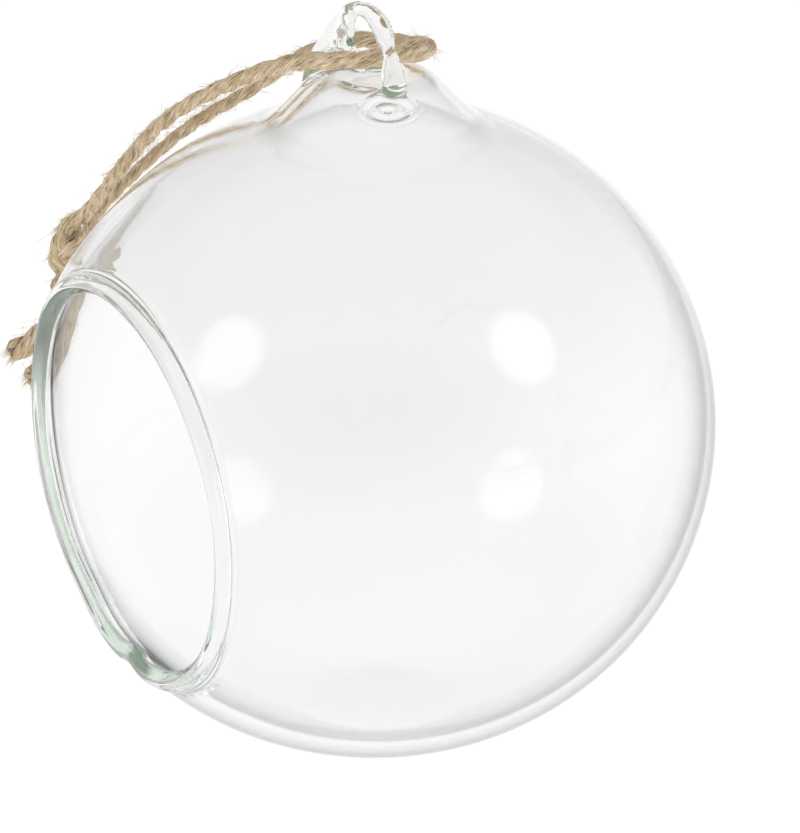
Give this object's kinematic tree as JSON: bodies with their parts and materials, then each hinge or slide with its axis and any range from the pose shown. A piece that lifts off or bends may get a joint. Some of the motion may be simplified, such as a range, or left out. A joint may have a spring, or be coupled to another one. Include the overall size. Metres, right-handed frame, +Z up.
{
  "type": "hanging glass ball vase",
  "caption": "Clear blown glass ball with a round mouth in its side, a flat foot, a drawn hook on top, and a knotted loop of jute twine to hang it by.",
  "frame": {"origin": "middle of the flat foot that the ball stands on", "axes": "+Z up through the ball, the neck and its crown; -Y out through the middle of the mouth; +X to the right of someone who looks into the mouth, with the hook's plane lying nearly along X"},
  "size_m": [0.0812, 0.0742, 0.09],
  "materials": {
    "clear_glass": "clear, smooth and glossy",
    "jute_twine": "matt twisted natural fibre"
  },
  "bodies": {
    "root": {"glass_ball": "clear_glass", "hanging_cord": "jute_twine", "cord_knot": "jute_twine", "cord_tail_long": "jute_twine", "cord_tail_short": "jute_twine"}
  },
  "joints": []
}
